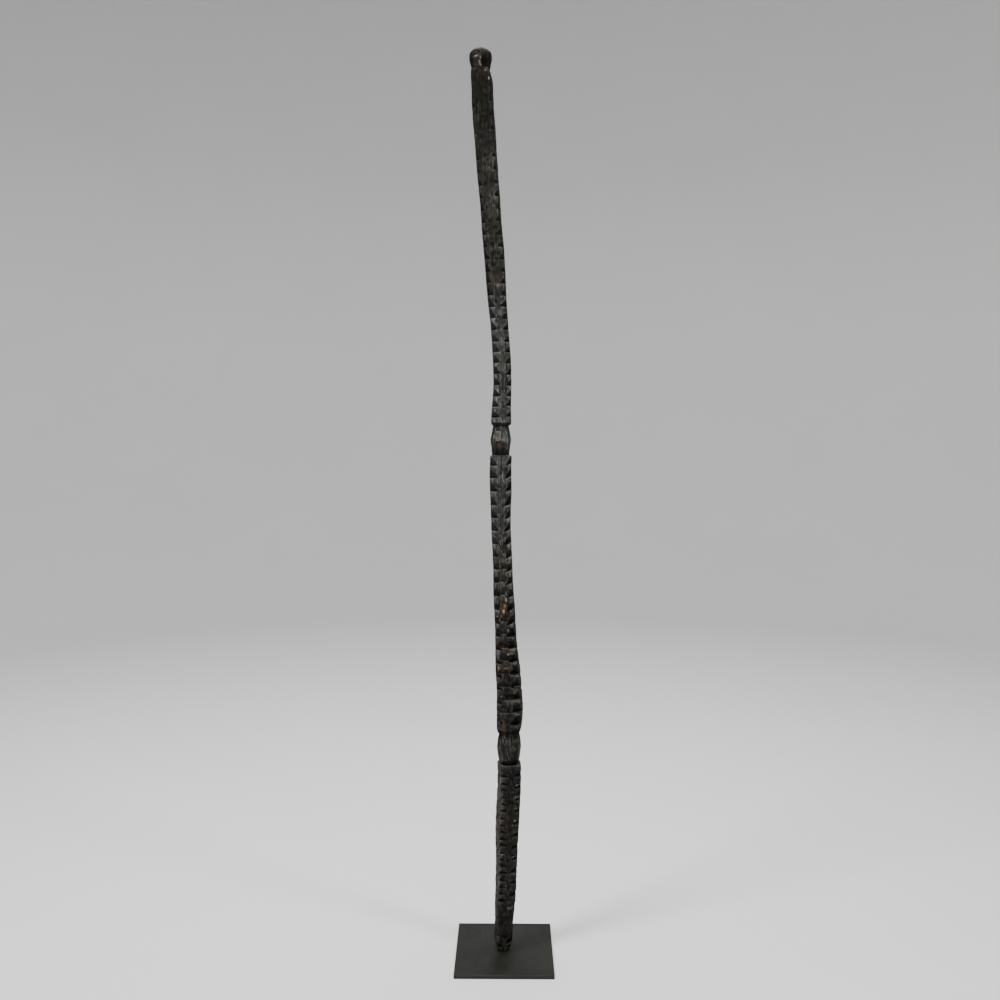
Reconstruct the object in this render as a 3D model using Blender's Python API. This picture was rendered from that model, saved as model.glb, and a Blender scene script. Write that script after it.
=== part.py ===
"""Carved house post: a slender, slightly crooked hand-cut pole standing on a square steel plate.

Units are metres and +Z is up. The carved front faces -Y. The origin is the centre of the plate's
underside. The post is one piece of wood: three squared lengths with notched arrises, parted by
two faceted beads, and a faceted ball finial on top. Its foot tapers to a small flat on the plate.
"""

import math
import random

import bmesh
import bpy
from mathutils import Matrix, Vector

# Base plate
PLATE_SIDE = 0.254
PLATE_THICKNESS = 0.0095
PLATE_EDGE = 0.0008
SEAT_GAP = 0.0003

# Heights above the floor, from the foot to the top of the finial
FOOT = PLATE_THICKNESS + SEAT_GAP
TOE_TOP = 0.0185
LOWER_BOTTOM = 0.0310
LOWER_TOP = 0.507
MIDDLE_BOTTOM = 0.592
MIDDLE_TOP = 1.312
UPPER_BOTTOM = 1.390
UPPER_TOP = 2.2835
NECK = 2.288
POST_TOP = 2.340

# The pole's crook: (height, how far its middle lies to the right of the plate's centre)
SIDEWAYS = (
    (0.00, -0.0035), (0.10, -0.0012), (0.20, 0.0042), (0.30, 0.0054), (0.44, 0.0115), (0.50, 0.0122),
    (0.55, 0.0122), (0.60, 0.0132), (0.65, 0.0158), (0.72, 0.0122), (0.83, 0.0055), (1.10, -0.0076),
    (1.22, -0.0101), (1.40, -0.0088), (1.49, -0.0060), (1.58, -0.0082), (1.68, -0.0168), (1.80, -0.0242),
    (2.00, -0.0395), (2.15, -0.0508), (2.26, -0.0568), (2.29, -0.0602), (2.34, -0.0604),
)
# (height, how far its middle lies behind the plate's centre)
BACKWARD = ((0.00, -0.001), (0.50, 0.003), (1.00, -0.003), (1.45, -0.006), (1.90, 0.002), (2.34, 0.008))

# (height, width of the squared pole as seen from the front)
WIDTH = (
    (0.00, 0.0475), (0.09, 0.0495), (0.14, 0.0545), (0.21, 0.0570), (0.28, 0.0600), (0.36, 0.0628),
    (0.44, 0.0630), (0.51, 0.0620), (0.58, 0.0640), (0.61, 0.0660), (0.65, 0.0690), (0.70, 0.0662),
    (0.75, 0.0650), (0.79, 0.0600), (0.84, 0.0552), (0.92, 0.0537), (1.02, 0.0494), (1.13, 0.0486),
    (1.23, 0.0542), (1.32, 0.0548), (1.39, 0.0516), (1.45, 0.0488), (1.58, 0.0452), (1.68, 0.0455),
    (1.76, 0.0488), (1.84, 0.0516), (1.95, 0.0518), (2.05, 0.0540), (2.15, 0.0552), (2.25, 0.0545),
    (2.34, 0.0545),
)
# (height, how much narrower the front face is than the back)
SPLAY = (
    (0.00, 0.008), (0.48, 0.011), (0.60, 0.008), (0.85, 0.008), (1.00, 0.003), (1.80, 0.003), (2.34, 0.008),
)
DEPTH_TO_WIDTH = 0.86

# (height, how far the squared pole is turned, in degrees, seen from above)
TWIST = (
    (0.00, 8.0), (0.50, 8.0), (0.60, -4.0), (0.85, -4.5), (1.00, -1.0), (1.20, 1.0), (1.42, 5.0),
    (1.60, 4.5), (1.74, 0.0), (1.90, -4.0), (2.34, -5.0),
)

# Squared section: each face rises a little in the middle and wavers, and each arris is eased off
FACE_CROWN = 0.0013
ARRIS = 0.0026
HAND_WAVER = 0.0005
WAVER_PER_METRE = 41
RING_SPACING = 0.033

# Ends of the squared lengths, eased inward: (how far in, over what height)
LOWER_FOOT_EASE = (0.0008, 0.0050)
LOWER_HEAD_EASE = (0.0008, 0.0020)
MIDDLE_FOOT_EASE = (0.0022, 0.0080)
UPPER_FOOT_EASE = (0.0016, 0.0070)
SHOULDER_EASE = (0.0022, 0.0180)

# Radius of the toe, at the plate and where it meets the squared length
TOE = 0.0150
TOE_SPREAD = 0.0205

# Faceted beads and finial: (height, radius across the corners of the eight facets)
LOWER_BEAD = (
    (LOWER_TOP, 0.0190), (0.5115, 0.0252), (0.5190, 0.0280), (0.5510, 0.0318), (0.5720, 0.0300),
    (0.5840, 0.0276), (MIDDLE_BOTTOM, 0.0270),
)
UPPER_BEAD = (
    (MIDDLE_TOP, 0.0218), (1.3190, 0.0224), (1.3490, 0.0266), (1.3540, 0.0266), (1.3800, 0.0218),
    (1.3860, 0.0206), (UPPER_BOTTOM, 0.0206),
)
FINIAL = (
    (NECK, 0.0240), (2.2975, 0.0255), (2.3110, 0.0289), (2.3235, 0.0289), (2.3300, 0.0268),
    (2.3365, 0.0186), (POST_TOP, 0.0090),
)
LOWER_BEAD_TURN = math.radians(-16)
UPPER_BEAD_TURN = math.radians(22)
FINIAL_TURN = math.radians(-21)
FACETS = 8
FIRST_ARRIS = math.radians(-135)

# Runs of notches, each along one arris: how many, and the heights of the first and last ledge.
# Inset is how far a notch reaches across each face from the arris, and rise is its height as a
# share of the way to the next ledge, both from the foot of the run to its top. Where given, spread
# says how much wider apart the ledges stand at the top of the run than at its foot, fade is the
# power by which inset and rise change on the way up, fall is the least and the most that the ledges
# slope down toward their edge, bearing turns the notches away from square to the arris, and slant
# tips them, all three in degrees.
FRONT_LEFT, FRONT_RIGHT, BACK_RIGHT, BACK_LEFT = range(4)
NOTCH_RUNS = (
    dict(arris=FRONT_RIGHT, count=1, first=0.0340, last=0.034, inset=(0.018, 0.018), rise=(0.55, 0.55)),
    dict(arris=FRONT_LEFT, count=1, first=0.0530, last=0.053, inset=(0.009, 0.009), rise=(0.30, 0.30)),
    dict(arris=FRONT_RIGHT, count=12, first=0.1290, last=0.4785, inset=(0.018, 0.017), rise=(0.60, 0.56),
         fall=(14, 26)),
    dict(arris=FRONT_LEFT, count=19, first=0.1480, last=0.4765, inset=(0.0080, 0.0085), rise=(0.50, 0.50),
         bearing=25, fall=(12, 24)),
    dict(arris=FRONT_RIGHT, count=8, first=0.6150, last=0.8480, inset=(0.024, 0.019), rise=(0.82, 0.78),
         fall=(14, 26)),
    dict(arris=FRONT_LEFT, count=10, first=0.6710, last=0.9860, inset=(0.016, 0.015), rise=(0.40, 0.50),
         fall=(12, 24)),
    dict(arris=FRONT_RIGHT, count=13, first=0.8805, last=1.2905, inset=(0.018, 0.014), rise=(0.74, 0.68),
         slant=20, fall=(8, 18)),
    dict(arris=FRONT_LEFT, count=9, first=1.0200, last=1.2870, inset=(0.015, 0.018), rise=(0.60, 0.72),
         fall=(8, 18)),
    dict(arris=FRONT_RIGHT, count=28, first=1.4110, last=2.2360, inset=(0.014, 0.006), rise=(0.74, 0.40),
         spread=0.30, fade=2),
    dict(arris=FRONT_LEFT, count=28, first=1.4090, last=2.2200, inset=(0.016, 0.004), rise=(0.76, 0.34),
         spread=0.22, fade=2),
    dict(arris=BACK_RIGHT, count=11, first=0.1450, last=0.4720, inset=(0.009, 0.009), rise=(0.50, 0.50)),
    dict(arris=BACK_LEFT, count=11, first=0.1350, last=0.4700, inset=(0.009, 0.009), rise=(0.50, 0.50)),
    dict(arris=BACK_RIGHT, count=20, first=0.6300, last=1.2800, inset=(0.011, 0.009), rise=(0.55, 0.55)),
    dict(arris=BACK_LEFT, count=20, first=0.6350, last=1.2850, inset=(0.011, 0.009), rise=(0.55, 0.55)),
    dict(arris=BACK_RIGHT, count=27, first=1.4200, last=2.2300, inset=(0.009, 0.009), rise=(0.55, 0.50),
         spread=0.22),
    dict(arris=BACK_LEFT, count=27, first=1.4150, last=2.2250, inset=(0.009, 0.009), rise=(0.55, 0.50),
         spread=0.22),
)
LEDGE_FALL = (2, 10)
LONE_NOTCH_PITCH = 0.030
NOTCH_OVERCUT = 0.0030

# Shallow ledges right across the front face, in line with the right arris's notches: they give
# the foot of the middle length its look of stacked blocks
FRONT_STEPS = dict(count=12, first=0.6480, last=1.0215, depth=0.0020, rise=0.66)
STEP_OVERCUT = 0.0010
STEP_WANDER = 0.0006
STEP_SLANT = math.radians(3)

# Short slanting strokes on the left arris, just above the lower bead
STROKE_HEIGHTS = (0.609, 0.6235, 0.6375, 0.6515)
STROKE_INSET = 0.0100
STROKE_RISE = 0.0065
STROKE_SLANT = math.radians(24)

# How far one hand-cut notch differs from the next
HAND_SEED = 7
HEIGHT_WANDER = 0.0014
INSET_WANDER = 0.0014
RISE_WANDER = 0.07
BEARING_WANDER = math.radians(4)


def along(table, height):
    """The value at a height, on a smooth curve through a table's (height, value) pairs."""
    last = len(table) - 2
    i = min(max(sum(row[0] <= height for row in table) - 1, 0), last)
    before, low, high, after = table[max(i - 1, 0)], table[i], table[i + 1], table[min(i + 2, last + 1)]
    span = high[0] - low[0]
    t = min(max((height - low[0]) / span, 0.0), 1.0)
    slope_low = (high[1] - before[1]) / (high[0] - before[0]) * span
    slope_high = (after[1] - low[1]) / (after[0] - low[0]) * span
    return (
        (2 * t**3 - 3 * t**2 + 1) * low[1]
        + (t**3 - 2 * t**2 + t) * slope_low
        + (3 * t**2 - 2 * t**3) * high[1]
        + (t**3 - t**2) * slope_high
    )


def twist_at(height):
    return math.radians(along(TWIST, height))


def corners_at(height, inward=0.0):
    """The squared pole's corners at a height, in its own axes: front left, front right, and on.

    They are sized and set so that, once turned, they span the pole's width evenly about its middle.
    """
    back = along(WIDTH, height) / 2
    front = back - along(SPLAY, height) / 2
    deep = back * DEPTH_TO_WIDTH
    corners = [Vector(corner) for corner in ((-front, -deep), (front, -deep), (back, deep), (-back, deep))]
    turned = Matrix.Rotation(twist_at(height), 2)
    reach = [(turned @ corner).x for corner in corners]
    off_middle = turned.inverted() @ Vector(((max(reach) + min(reach)) / 2, 0))
    size = 2 * back / (max(reach) - min(reach)) * (1 - inward / deep)
    return [(corner - off_middle) * size for corner in corners]


def placed(points, height, turn):
    """Section points turned about, and set on, the crooked middle line."""
    turned = Matrix.Rotation(turn, 2)
    middle = Vector((along(SIDEWAYS, height), along(BACKWARD, height)))
    return [(*(middle + turned @ Vector(point)), height) for point in points]


def squared_ring(height, inward=0.0):
    """Sixteen points round the squared pole: four on each slightly crowned face."""
    corners = corners_at(height, inward)
    points = []
    for face in range(4):
        start, end = corners[face], corners[(face + 1) % 4]
        span = end - start
        outward = Vector((span.y, -span.x)).normalized()
        waver = HAND_WAVER * math.sin(WAVER_PER_METRE * height + math.tau * face / 3)
        edge = ARRIS / span.length
        for share, crown in ((edge, 0), (1 / 3, FACE_CROWN), (2 / 3, FACE_CROWN), (1 - edge, 0)):
            points.append(start + span * share + outward * (crown + waver))
    return placed(points, height, twist_at(height))


def faceted_ring(height, radius, turn):
    """Sixteen points round eight flat facets: each corner, and the middle of each facet."""
    points = []
    for step in range(2 * FACETS):
        angle = FIRST_ARRIS + step * math.pi / FACETS
        reach = radius if step % 2 else radius * math.cos(math.pi / FACETS)
        points.append((reach * math.cos(angle), reach * math.sin(angle)))
    return placed(points, height, turn)


def squared_length(bottom, top, foot_ease=(0.0, 0.0), head_ease=(0.0, 0.0)):
    """Rings of one squared length, with its ends eased inward where they aren't left sharp."""
    low = bottom + foot_ease[1]
    high = top - head_ease[1]
    steps = round((high - low) / RING_SPACING)
    rings = [squared_ring(low + (high - low) * step / steps) for step in range(steps + 1)]
    if foot_ease[0]:
        rings.insert(0, squared_ring(bottom, foot_ease[0]))
    if head_ease[0]:
        rings.append(squared_ring(top, head_ease[0]))
    return rings


def faceted_length(profile, turn):
    return [faceted_ring(height, radius, turn) for height, radius in profile]


def post_rings():
    """Every ring of the uncut post, from the foot to the top of the finial."""
    rings = faceted_length(((FOOT, TOE), (TOE_TOP, TOE_SPREAD)), twist_at(FOOT))
    rings += squared_length(LOWER_BOTTOM, LOWER_TOP, LOWER_FOOT_EASE, LOWER_HEAD_EASE)
    rings += faceted_length(LOWER_BEAD, LOWER_BEAD_TURN)
    rings += squared_length(MIDDLE_BOTTOM, MIDDLE_TOP, MIDDLE_FOOT_EASE)
    rings += faceted_length(UPPER_BEAD, UPPER_BEAD_TURN)
    rings += squared_length(UPPER_BOTTOM, UPPER_TOP, UPPER_FOOT_EASE, SHOULDER_EASE)
    rings += faceted_length(FINIAL, FINIAL_TURN)
    return rings


def lofted(rings, name):
    """A closed solid through rings of the same number of points, one above another."""
    bm = bmesh.new()
    loops = [[bm.verts.new(point) for point in ring] for ring in rings]
    count = len(loops[0])
    for lower, upper in zip(loops, loops[1:]):
        for i in range(count):
            j = (i + 1) % count
            bm.faces.new((lower[i], lower[j], upper[j], upper[i]))
    bm.faces.new(list(reversed(loops[0])))
    bm.faces.new(loops[-1])
    return object_from(bm, name)


def object_from(bm, name):
    bmesh.ops.recalc_face_normals(bm, faces=bm.faces)
    mesh = bpy.data.meshes.new(name)
    bm.to_mesh(mesh)
    bm.free()
    obj = bpy.data.objects.new(name, mesh)
    bpy.context.scene.collection.objects.link(obj)
    return obj


def blend(ends, share):
    return ends[0] + (ends[1] - ends[0]) * share


def notches_of(run):
    """(height, inset, rise) of each notch of a run, from its foot to its top."""
    steps = max(run["count"] - 1, 1)
    spread = run.get("spread", 0.0)
    pitch = (run["last"] - run["first"]) / steps or LONE_NOTCH_PITCH
    for step in range(run["count"]):
        share = step / steps
        faded = share ** run.get("fade", 1)
        height = blend((run["first"], run["last"]), share + spread / 2 * (share * share - share))
        rise = blend(run["rise"], faded) * pitch * (1 + spread * (share - 0.5))
        yield height, blend(run["inset"], faded), rise


def add_wedge(bm, height, root, outward, reach, half_length, slope, fall=0.0, slant=0.0):
    """A wedge that cuts one notch: a flat ledge at its foot, and a face sloping up and out.

    Its root line runs through a point of the section at this height, square to its outward way.
    Fall slopes the ledge down toward its edge, and slant tips the whole wedge to one side.
    """
    across = Vector((-outward.y, outward.x))
    profile = ((0.0, 0.0), (reach, -reach * math.tan(fall)), (reach, reach * slope))
    corners = []
    for shift in (-half_length, half_length):
        for out, up in profile:
            x, y, _ = placed([root + outward * out + across * shift], height, twist_at(height))[0]
            corners.append(bm.verts.new((x, y, height + up + shift * math.tan(slant))))
    a, b, c, d, e, f = corners
    for face in ((a, b, c), (d, f, e), (a, d, e, b), (b, e, f, c), (c, f, d, a)):
        bm.faces.new(face)


def add_notch(bm, arris, height, inset, rise, bearing=0.0, fall=0.0, slant=0.0):
    """A notch cut square across an arris, or turned from square by its bearing."""
    outward = Vector((math.cos(bearing), math.sin(bearing)))
    outward.rotate(Matrix.Rotation(FIRST_ARRIS + arris * math.pi / 2, 2))
    depth = inset / math.sqrt(2)
    root = corners_at(height)[arris] - outward * depth
    half_length = depth * math.tan(math.pi / 4 + abs(bearing)) + NOTCH_OVERCUT
    add_wedge(bm, height, root, outward, depth + NOTCH_OVERCUT, half_length, rise / depth, fall, slant)


def add_front_step(bm, height, depth, rise, slant):
    """A shallow ledge right across the front face."""
    left, right = corners_at(height)[:2]
    root = (left + right) / 2 + Vector((0, depth))
    half_length = (right.x - left.x) / 2 + NOTCH_OVERCUT
    deepest = depth + FACE_CROWN
    reach = deepest + STEP_OVERCUT
    add_wedge(bm, height, root, Vector((0, -1)), reach, half_length, rise / deepest, slant=slant)


def notch_cutters():
    """All the notches' wedges, as one cutting object."""
    hand = random.Random(HAND_SEED)
    bm = bmesh.new()
    for run in NOTCH_RUNS:
        for height, inset, rise in notches_of(run):
            add_notch(
                bm,
                run["arris"],
                height + hand.uniform(-HEIGHT_WANDER, HEIGHT_WANDER),
                inset + hand.uniform(-INSET_WANDER, INSET_WANDER),
                rise * (1 + hand.uniform(-RISE_WANDER, RISE_WANDER)),
                math.radians(run.get("bearing", 0)) + hand.uniform(-BEARING_WANDER, BEARING_WANDER),
                math.radians(hand.uniform(*run.get("fall", LEDGE_FALL))),
                math.radians(run.get("slant", 0)),
            )
    for height in STROKE_HEIGHTS:
        add_notch(bm, FRONT_LEFT, height, STROKE_INSET, STROKE_RISE, slant=STROKE_SLANT)
    return object_from(bm, "notch_cutters")


def step_cutters():
    """The wedges of the ledges across the front face, as one cutting object."""
    hand = random.Random(HAND_SEED)
    bm = bmesh.new()
    pitch = (FRONT_STEPS["last"] - FRONT_STEPS["first"]) / (FRONT_STEPS["count"] - 1)
    for step in range(FRONT_STEPS["count"]):
        height = FRONT_STEPS["first"] + pitch * step + hand.uniform(-HEIGHT_WANDER, HEIGHT_WANDER)
        depth = FRONT_STEPS["depth"] + hand.uniform(-STEP_WANDER, STEP_WANDER)
        slant = hand.uniform(-STEP_SLANT, STEP_SLANT)
        add_front_step(bm, height, depth, FRONT_STEPS["rise"] * pitch, slant)
    return object_from(bm, "step_cutters")


def cut_away(obj, cutters):
    cutters.hide_render = True
    cutters.display_type = "WIRE"
    cut = obj.modifiers.new(cutters.name, "BOOLEAN")
    cut.operation = "DIFFERENCE"
    cut.solver = "EXACT"
    cut.use_self = True
    cut.object = cutters


def material(name, colour, roughness, metallic):
    made = bpy.data.materials.new(name)
    made.use_nodes = True
    shader = made.node_tree.nodes["Principled BSDF"]
    shader.inputs["Base Color"].default_value = (*colour, 1)
    shader.inputs["Roughness"].default_value = roughness
    shader.inputs["Metallic"].default_value = metallic
    return made


def carved_post():
    post = lofted(post_rings(), "carved_post")
    cut_away(post, step_cutters())
    cut_away(post, notch_cutters())
    post.data.materials.append(material("blackened_wood", (0.030, 0.026, 0.020), 0.55, 0.0))
    return post


def base_plate():
    bm = bmesh.new()
    bmesh.ops.create_cube(bm, size=1)
    bmesh.ops.scale(bm, vec=(PLATE_SIDE, PLATE_SIDE, PLATE_THICKNESS), verts=bm.verts)
    bmesh.ops.translate(bm, vec=(0, 0, PLATE_THICKNESS / 2), verts=bm.verts)
    plate = object_from(bm, "base_plate")
    edge = plate.modifiers.new("eased edges", "BEVEL")
    edge.width = PLATE_EDGE
    edge.segments = 2
    plate.data.materials.append(material("black_steel", (0.035, 0.036, 0.032), 0.45, 0.6))
    return plate


def main():
    for obj in list(bpy.data.objects):
        bpy.data.objects.remove(obj, do_unlink=True)
    base_plate()
    carved_post()


main()
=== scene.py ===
"""Looks of the carved house post: the smoke-dark carved pole, its steel plate, floor, light and camera.

The pole starts from its own solid and is worked as a carver and the years would: a dense mesh is cut
with tool marks, grain, cracks and small cuts, then each vertex is told how worn, hollow or bare it is and
how much painted shade and painted light it carries, and the wood's material reads that. Lengths are in
metres and colours in linear light throughout.
"""

import math

import bmesh
import bpy
import numpy as np
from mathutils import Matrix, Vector


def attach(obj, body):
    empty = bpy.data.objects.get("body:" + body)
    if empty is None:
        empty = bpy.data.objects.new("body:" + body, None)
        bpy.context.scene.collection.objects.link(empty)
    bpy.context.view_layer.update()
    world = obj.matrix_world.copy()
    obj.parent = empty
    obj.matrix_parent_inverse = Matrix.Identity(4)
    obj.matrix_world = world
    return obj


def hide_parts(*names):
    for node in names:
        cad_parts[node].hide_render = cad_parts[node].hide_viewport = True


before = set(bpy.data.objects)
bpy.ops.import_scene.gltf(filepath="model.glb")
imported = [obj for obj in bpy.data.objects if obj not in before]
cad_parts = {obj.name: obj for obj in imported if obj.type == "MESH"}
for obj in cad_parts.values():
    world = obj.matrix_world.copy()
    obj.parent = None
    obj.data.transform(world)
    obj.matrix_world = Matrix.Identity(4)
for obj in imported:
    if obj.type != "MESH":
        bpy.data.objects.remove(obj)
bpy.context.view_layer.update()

# Camera: where it stands, how far it looks down and to the left in degrees, and its lens and film in mm
CAMERA_SPOT = (0.0113, -2.331, 1.3125)
CAMERA_DOWN = 2.83
CAMERA_LEFT = 0.558
CAMERA_LENS = 32.53
CAMERA_FILM = 36

# Studio lights: (name, place, what it points at, size across, watts, colour)
LIGHTS = (
    ("key_left", (-1.9, -1.2, 4.7), (0, 0, 1.3), 0.9, 170, (1.0, 0.99, 0.97)),
    ("high_right", (1.95, -1.15, 4.5), (0, 0, 0.5), 0.5, 60, (0.97, 0.98, 1.0)),
    ("top_soft", (0.0, 0.5, 4.6), (0, 0.3, 0), 1.8, 150, (1, 1, 1)),
)
AIR_STRENGTH = 0.30

# Studio floor: a small hub, a round flat, a sweep up round its rim, and a wall
HUB_RADIUS = 0.02
FLOOR_RADIUS = 5.0
SWEEP_RADIUS = 2.5
SWEEP_STEPS = 24
WALL_TOP = 6.5
SIDES_AROUND = 96

# The dense mesh that the carving is worked on, and the kept one
VOXEL = 0.0013
KEPT_TRIANGLES = 196_000

# Heights of the pole's parts above the floor
LOWER_TOP = 0.507
MIDDLE_BOTTOM = 0.592
MIDDLE_TOP = 1.312
UPPER_BOTTOM = 1.390
NECK = 2.288

# Tool marks and weather: noise cells to the metre (left to right, front to back, upward)
BROAD_SCOOPS = (85, 85, 40)
SMALL_SCOOPS = (190, 190, 85)
ROUGH_SCOOPS = (78, 78, 62)
FURROWS = (240, 240, 9)
FINE_FURROWS = (480, 480, 22)
CRACKS = (58, 58, 2.4)
CRACKED_PLACES = (16, 16, 8)
SWELLS = (34, 34, 20)
HANDLED_PLACES = (40, 40, 25)
CHIPS = (85, 85, 60)
SPOT_EDGES = (260, 260, 150)
STAIN_EDGES = (150, 150, 90)
UNDERSIDE_EDGES = (320, 320, 240)

# How far the small and the rough scoops' cells are shifted, so that they don't line up with the broad ones
SMALL_SHIFT, ROUGH_SHIFT = 7.3, 3.1

# How far furrows and cracks waver sideways, and in how many noise cells to the metre
GRAIN_SWAY, GRAIN_BENDS = 0.0020, 18
CRACK_SWAY, CRACK_BENDS = 0.0030, 9

# How deep the tool marks and the weather cut, and how far the whole skin is lifted to make up for it
BROAD_DEPTH = 0.00042
SMALL_DEPTH = 0.00018
FURROW_DEPTH = 0.00030
FINE_DEPTH = 0.00014
CRACK_DEPTH = 0.0017
SWELL_DEPTH = 0.0009
CHIP_DEPTH = 0.0015
SKIN_LIFT = 0.0003

# How deep the rough scoops are at each height
ROUGH_DEPTHS = (
    (0.00, 0.0008), (0.50, 0.0007), (0.60, 0.0014), (0.90, 0.0013),
    (1.00, 0.0004), (1.70, 0.0004), (1.80, 0.0007),
)

# Small cuts on the pole's front: (right of the pole's middle, height)
FAN_ROOT = (0.0040, 1.0620)
FAN_TIPS = ((-0.0070, 1.0850), (-0.0010, 1.0910), (0.0060, 1.0900), (0.0125, 1.0840))
FAN_WIDTH, FAN_DEPTH = 0.0036, 0.0014
STROKES = (
    ((-0.0042, 0.7560), (-0.0115, 0.7360)), ((-0.0042, 0.7560), (0.0018, 0.7360)),
    ((-0.0163, 0.5870), (-0.0103, 0.5680)), ((-0.0150, 0.5480), (-0.0100, 0.5260)),
    ((0.0060, 0.5840), (0.0085, 0.5620)), ((-0.0030, 0.5600), (0.0005, 0.5330)),
    ((-0.0226, 1.0229), (-0.0075, 1.0191)), ((-0.0075, 1.0191), (0.0030, 1.0243)),
    ((-0.0194, 2.3140), (-0.0105, 2.3172)), ((-0.0105, 2.3172), (-0.0020, 2.3212)),
    ((-0.0165, 2.3200), (-0.0063, 2.3252)),
)
STROKE_WIDTH, STROKE_DEPTH = 0.0042, 0.0018

# The pointed leaf near the top of the middle length
LEAF = dict(foot=1.2610, tip=1.2940, middle=0.0018, half_width=0.0062, depth=0.0017)

# The raised panel on the upper bead: where each of its edges begins and ends, and how proud it stands
PANEL_LEFT = (-0.0140, -0.0128)
PANEL_RIGHT = (0.0000, 0.0012)
PANEL_FOOT = (1.3450, 1.3495)
PANEL_HEAD = (1.3740, 1.3752)
PANEL_RISE = 0.0008
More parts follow.
